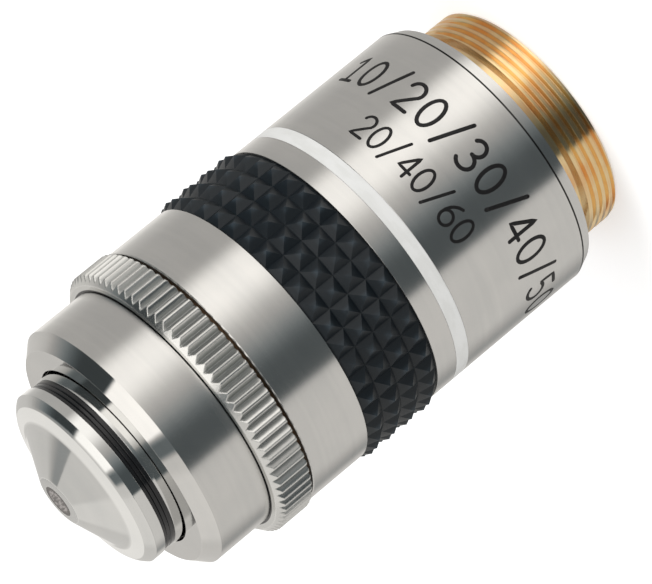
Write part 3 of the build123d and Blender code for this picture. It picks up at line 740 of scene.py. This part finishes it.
def write_row(name, row):
    """A row of filled numbers, still flat, and spread to both sides of the origin."""
    height = row["height"]
    strokes = []
    ends = set()
    for place, sign in enumerate(row["text"]):
        left = (place - len(row["text"]) / 2) * row["pitch"]
        for stroke in NUMERALS[sign]:
            points = [((left + x) * height, y * height) for x, y in short_steps(stroke, LINE_STEP)]
            strokes.extend(cut_stroke(points, row["stroke"], ends))
    select_only(strokes[0])
    for stroke in strokes:
        stroke.select_set(True)
    bpy.ops.object.join()
    piece = bpy.context.object
    piece.name = name
    bpy.ops.object.transform_apply(location=True, rotation=True, scale=True)
    flatten = {"value": (1, 1, 2 * FILLING_RISE / row["stroke"]), "center_override": (0, 0, 0)}
    edit_mesh(FACE_OUTWARDS, (bpy.ops.transform.resize, flatten))
    bpy.ops.object.shade_smooth()
    return piece


def bend_onto_barrel(piece, row):
    """Stand a flat row up, bend it to the barrel, and put it at its height and its turn."""
    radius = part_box("outer_barrel")[1].x
    piece.data.transform(Matrix.Rotation(math.pi, 4, "Y") @ Matrix.Rotation(math.pi / 2, 4, "X"))
    low_x = min(vertex.co.x for vertex in piece.data.vertices)
    high_x = max(vertex.co.x for vertex in piece.data.vertices)
    bend = piece.modifiers.new("bend", "SIMPLE_DEFORM")
    bend.deform_method = "BEND"
    bend.deform_axis = "Z"
    bend.angle = (high_x - low_x) / radius
    bpy.ops.object.modifier_apply(modifier=bend.name)
    top = min(vertex.co.z for vertex in piece.data.vertices)
    piece.data.transform(Matrix.Translation((0, -radius, row["top"] - top)))
    piece.data.transform(Matrix.Rotation(math.radians(-row["middle"]), 4, "Z"))


def make_numbers(name, row, finish):
    """A row of engraved and filled numbers on the barrel."""
    piece = write_row(name, row)
    bend_onto_barrel(piece, row)
    dress(piece, finish)
    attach(piece, "barrel")


# The light tent, as polished metal mirrors it into the lens. A card's place is the way that a face has
# to look to show it: its turn round the axis, from the camera's side towards -X, and its tilt towards
# the nose, both in degrees. A card lies over those before it, and its edges are soft. The wall straight
# behind the objective, where turns and tilts run together, has one level. It fades out between two
# lengths of the sum of the mirrored direction and the camera's.
TENT_LEVEL = 0.62
CARDS = [
    {"card": "left curtain", "turn": (-68, -31), "edges": (18, 9), "tilt": (-100, 62), "level": 0.45},
    {"card": "window", "turn": (-31, -12.5), "edges": (9, 14), "tilt": (-100, 12), "level": 1.15},
    {"card": "long flag", "turn": (-1.5, 24), "edges": (27, 2), "tilt": (-100, 12), "level": 0.080},
    {"card": "right strip", "turn": (66, 76), "edges": (14, 8), "tilt": (-100, 28), "level": 0.32},
    {"card": "left rim sheet", "turn": (-110, -77), "edges": (4, 12), "tilt": (-100, 24), "level": 1.00},
    {"card": "right rim sheet", "turn": (80, 110), "edges": (8, 4), "tilt": (-100, 24), "level": 0.60},
    {"card": "right wall", "turn": (24, 66), "edges": (8, 10), "tilt": (30, 72), "level": 0.73},
    {"card": "grey screen", "turn": (-64, -23.5), "edges": (20, 4), "tilt": (12, 30), "level": 0.14},
    {"card": "dark screen", "turn": (-46, -23.5), "edges": (5, 4), "tilt": (12, 30), "level": 0.050},
    {"card": "right screen", "turn": (26, 84), "edges": (30, 6), "tilt": (12, 30), "level": 0.45},
    {"card": "black screen", "turn": (-55, -22.5), "edges": (30, 2), "tilt": (30, 57), "level": 0.050},
    {"card": "overhead window", "turn": (-23, 5), "edges": (3, 3), "tilt": (12, 57), "level": 1.20},
    {"card": "nose flag", "turn": (3, 26), "edges": (16, 3), "tilt": (12, 30), "level": 0.10},
    {"card": "overhead flag", "turn": (6, 15), "edges": (5, 4), "tilt": (30, 57), "level": 0.15},
    {"card": "cone shade", "turn": (-45, -24), "edges": (22, 2), "tilt": (57, 71), "level": 0.31},
    {"card": "nose sheet", "turn": (-200, 200), "edges": (1, 1), "tilt": (72, 83), "level": 0.88},
    {"card": "front wall", "turn": (-200, 200), "edges": (1, 1), "tilt": (83, 100), "level": 0.60},
]
TILT_EDGE = 5
BACK_WALL = 0.85
BACK_WALL_REACH = (0.12, 0.24)
COOL_SHADE = (0.86, 1.00, 1.04)
WARM_LIGHT = (1.00, 0.975, 0.935)
SHADE_LEVELS = (0.05, 0.45)
SOFT_LEVEL = 0.82


def hang_card(graph, turn, tilt, behind, card):
    """Lay one card over the cards behind it."""
    across = graph.between(turn, card["turn"], card["edges"])
    along = graph.between(tilt, card["tilt"], (TILT_EDGE, TILT_EDGE))
    return graph.mix(across * along, behind, card["level"])


def light_the_tent():
    """A soft white tent for the surfaces, and its cards for what the metal mirrors."""
    world = bpy.data.worlds.new("light_tent")
    bpy.context.scene.world = world
    world.use_nodes = True
    graph = Graph(world.node_tree)
    direction = graph.node("ShaderNodeTexCoord", output="Generated")
    nose_root = Vector((0, 0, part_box("front_sleeve")[1].z))
    to_camera = (CAMERA_PLACE - nose_root).normalized()
    halfway = graph.vector("ADD", direction, to_camera)
    length = graph.vector("LENGTH", halfway, output="Value")
    facing = graph.vector("NORMALIZE", halfway)
    split = graph.node("ShaderNodeSeparateXYZ", inputs={0: facing})
    x, y, z = (split.out(axis) for axis in "XYZ")
    turn = graph.maths("ARCTAN2", x * -1.0, y * -1.0) * math.degrees(1)
    tilt = graph.maths("ARCSINE", z) * math.degrees(1)
    seen = TENT_LEVEL
    for card in CARDS:
        seen = hang_card(graph, turn, tilt, seen, card)
    seen = graph.mix(graph.range(length, *BACK_WALL_REACH), BACK_WALL, seen)
    tint = graph.mix(graph.range(seen, *SHADE_LEVELS), COOL_SHADE, WARM_LIGHT)
    seen = graph.mix(1.0, seen, tint, blend="MULTIPLY")
    ray = graph.node("ShaderNodeLightPath", output="Is Camera Ray")
    seen = graph.mix(ray.out("Is Glossy Ray") + ray.out("Is Transmission Ray"), SOFT_LEVEL, seen)
    seen = graph.mix(ray, seen, 1.0)
    background = graph.node("ShaderNodeBackground", inputs={"Color": seen, "Strength": 1.0})
    graph.node("ShaderNodeOutputWorld", inputs={"Surface": background})


TABLE_SIZE = 4.0
TABLE_GAP = 0.02 * MM
TABLE_WHITE = 0.90
TABLE_GLOW = 0.36


def lay_floor():
    """A plain white table just under the thread. Nothing mirrors it, and it is clear from below."""
    select_only()
    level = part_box("thread_mount")[0].z - TABLE_GAP
    bpy.ops.mesh.primitive_plane_add(size=TABLE_SIZE, location=(0, 0, level))
    floor = bpy.context.object
    floor.name = "table"
    floor.visible_glossy = False
    floor.visible_diffuse = False
    surface = bpy.data.materials.new("table_white")
    surface.use_nodes = True
    graph = Graph(surface.node_tree)
    paper = graph.node("ShaderNodeBsdfDiffuse", inputs={"Color": opaque(TABLE_WHITE)})
    glow = graph.node("ShaderNodeEmission", inputs={"Color": opaque(1.0), "Strength": TABLE_GLOW})
    lit = graph.node("ShaderNodeAddShader", inputs={0: paper, 1: glow})
    clear = graph.node("ShaderNodeBsdfTransparent")
    under = graph.node("ShaderNodeNewGeometry", output="Backfacing")
    shader = graph.node("ShaderNodeMixShader", inputs={0: under, 1: lit, 2: clear})
    graph.node("ShaderNodeOutputMaterial", inputs={"Surface": shader})
    dress(floor, surface)


def hang_lamp(name, azimuth, elevation, distance, size, power):
    """A soft lamp that points at the middle of the objective and isn't mirrored."""
    side, rise = math.radians(azimuth), math.radians(elevation)
    away = Vector((-math.sin(side) * math.cos(rise), -math.cos(side) * math.cos(rise), math.sin(rise)))
    middle = (solid_box[0] + solid_box[1]) / 2
    data = bpy.data.lights.new(name, "AREA")
    data.shape = "DISK"
    data.size = size
    data.energy = power
    lamp = bpy.data.objects.new(name, data)
    bpy.context.scene.collection.objects.link(lamp)
    lamp.location = middle + away * distance
    lamp.rotation_euler = away.to_track_quat("Z", "Y").to_euler()
    lamp.visible_glossy = False


def place_camera():
    """The camera at the photograph's place, looking down and rolled as it was."""
    data = bpy.data.cameras.new("photo_camera")
    data.sensor_fit = "HORIZONTAL"
    data.sensor_width = SENSOR_WIDTH
    data.lens = FOCAL_LENGTH / VIEW_WIDTH * SENSOR_WIDTH
    data.clip_start = NEAREST_SEEN
    data.clip_end = FARTHEST_SEEN
    camera = bpy.data.objects.new("photo_camera", data)
    bpy.context.scene.collection.objects.link(camera)
    fall = Matrix.Rotation(math.radians(90 - CAMERA_FALL), 4, "X")
    roll = Matrix.Rotation(math.radians(-CAMERA_ROLL), 4, "Z")
    camera.matrix_world = Matrix.Translation(CAMERA_PLACE) @ fall @ roll
    bpy.context.scene.camera = camera


finishes = make_finishes()
finish_nodes(finishes)
make_thread(finishes["thread_brass"])
make_spring(finishes["spring_steel"])
dark_filling = number_paint("number_filling")
make_numbers("barrel_numbers_large", LARGE_ROW, dark_filling)
make_numbers("barrel_numbers_small", SMALL_ROW, dark_filling)
light_the_tent()
lay_floor()
hang_lamp("key_lamp", azimuth=-50, elevation=40, distance=0.5, size=0.30, power=0.9)
hang_lamp("fill_lamp", azimuth=60, elevation=25, distance=0.6, size=0.40, power=0.2)
place_camera()

bpy.context.scene.view_settings.view_transform = "Standard"
